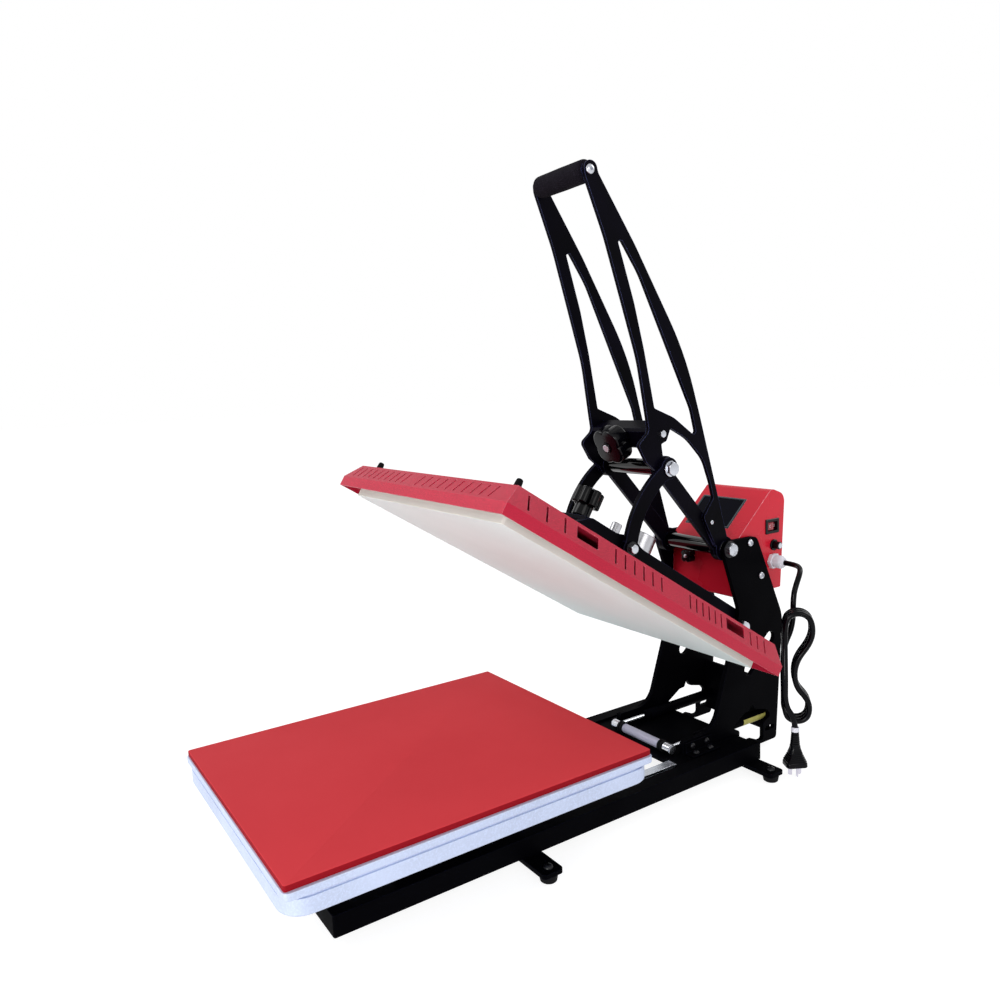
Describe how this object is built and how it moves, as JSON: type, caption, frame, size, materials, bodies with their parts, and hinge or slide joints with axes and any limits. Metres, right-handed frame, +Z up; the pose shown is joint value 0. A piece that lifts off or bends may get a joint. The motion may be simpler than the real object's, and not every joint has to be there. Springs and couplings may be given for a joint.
{
  "type": "slide-out heat press",
  "caption": "Bench heat press with a slide-out lower table, an upward-swinging heating head on a four-bar lever, and a rear control box with its bundled mains lead.",
  "frame": {"origin": "floor level under the centre of the press's overall box, with the drawer out and the head open", "axes": "+X to the operator's right, +Y from the operator to the rear, +Z up"},
  "size_m": [0.45, 0.9451, 0.9385],
  "materials": {
    "black_enamel": "satin",
    "black_rubber": "matte",
    "zinc_steel": "satin",
    "rail_steel": "ground",
    "chrome": "polished",
    "roller_grey": "satin",
    "cast_aluminium": "cast, lightly brushed",
    "red_silicone": "matte",
    "plate_coating": "matte coating",
    "insulation": "fibre",
    "red_enamel": "fine powder coat",
    "black_plastic": "satin",
    "rocker_red": "gloss",
    "display_glass": "gloss",
    "white_nylon": "satin",
    "cord_black": "satin",
    "pin_metal": "nickel plated"
  },
  "bodies": {
    "frame": {"base_frame": "black_enamel", "rear_deck": "black_enamel", "foot_bars": "black_enamel", "rubber_feet": "black_rubber", "foot_bolts": "zinc_steel", "slide_rails": "rail_steel", "side_plate_left": "black_enamel", "side_plate_right": "black_enamel", "rear_cross_plate": "black_enamel", "foot_angles": "black_enamel", "angle_bolts": "zinc_steel", "main_pivot_tube": "black_enamel", "main_pivot_bolts": "zinc_steel", "low_pivot_pins": "zinc_steel", "gas_spring_cylinders": "black_enamel", "control_box": "red_enamel", "box_bolts": "zinc_steel", "display": "display_glass", "switch_housing": "black_plastic", "fuse_holder": "black_plastic", "cable_gland": "white_nylon", "cord": "cord_black", "cord_hank": "cord_black", "cord_tie": "white_nylon", "plug_body": "cord_black", "plug_pins": "pin_metal"},
    "drawer": {"drawer_carriage": "black_enamel", "bearing_blocks": "rail_steel", "lower_table": "cast_aluminium", "silicone_pad": "red_silicone"},
    "buffer": {"buffer_roller": "roller_grey", "buffer_bushings": "black_rubber", "buffer_bolt": "zinc_steel", "gas_spring_rods": "chrome"},
    "lever": {"handle_plates": "black_enamel", "crank_arms": "black_enamel", "upper_pivot_tube": "black_enamel", "upper_pivot_bolts": "zinc_steel", "cross_block": "black_enamel", "pressure_stud": "zinc_steel", "lever_bolts": "zinc_steel", "grip_core": "black_enamel", "foam_grip": "black_rubber", "grip_bolts": "zinc_steel"},
    "pressure_knob": {"pressure_knob": "black_plastic"},
    "coupler": {"coupler_arms": "black_enamel"},
    "head": {"heat_plate": "plate_coating", "insulation": "insulation", "cover_shell": "red_enamel", "standoffs": "zinc_steel", "cover_pegs": "black_rubber", "carrier_bars": "black_enamel", "link_pins": "zinc_steel", "carrier_plate": "black_enamel", "clamp_stud": "zinc_steel", "head_cylinders": "zinc_steel"},
    "star_knob": {"star_knob": "black_plastic"},
    "front_knob": {"front_knob": "black_plastic"},
    "switch_rocker": {"switch_rocker": "rocker_red"}
  },
  "joints": [
    {"name": "head_swing", "type": "hinge", "parent": "frame", "child": "head", "pos_m": [0, 0.354, 0.2222], "axis": [1, 0, 0], "range_deg": [0, 32.19]},
    {"name": "lever_swing", "type": "hinge", "parent": "frame", "child": "lever", "pos_m": [0, 0.325, 0.358], "axis": [1, 0, 0], "range_deg": [0, 48.92]},
    {"name": "coupler_swing", "type": "hinge", "parent": "lever", "child": "coupler", "pos_m": [0, 0.196, 0.5], "axis": [1, 0, 0], "range_deg": [-41.9, 0]},
    {"name": "drawer_slide", "type": "slide", "parent": "frame", "child": "drawer", "axis": [0, 1, 0], "range_m": [0, 0.2264]},
    {"name": "buffer_slide", "type": "slide", "parent": "frame", "child": "buffer", "axis": [0, 1, 0], "range_m": [0, 0.03], "stiffness_N_per_m": 3000},
    {"name": "pressure_knob_turn", "type": "hinge", "parent": "lever", "child": "pressure_knob", "pos_m": [0, 0.182, 0.552], "axis": [0, -0.9135, -0.4067], "continuous": true},
    {"name": "star_knob_turn", "type": "hinge", "parent": "head", "child": "star_knob", "pos_m": [0, 0.08606, 0.43966], "axis": [0, 0.5327, 0.8463], "continuous": true},
    {"name": "front_knob_turn", "type": "hinge", "parent": "frame", "child": "front_knob", "pos_m": [-0.022, 0.328, 0.332], "axis": [0, -1, 0], "continuous": true},
    {"name": "switch_rocker_tilt", "type": "hinge", "parent": "frame", "child": "switch_rocker", "pos_m": [0.0617, 0.4396, 0.3807], "axis": [0, 0, 1], "range_deg": [-18, 0]}
  ],
  "couplings": [
    {"joint": "lever_swing", "follows": "head_swing", "ratio": 1.5195},
    {"joint": "coupler_swing", "follows": "head_swing", "ratio": -1.3011}
  ]
}
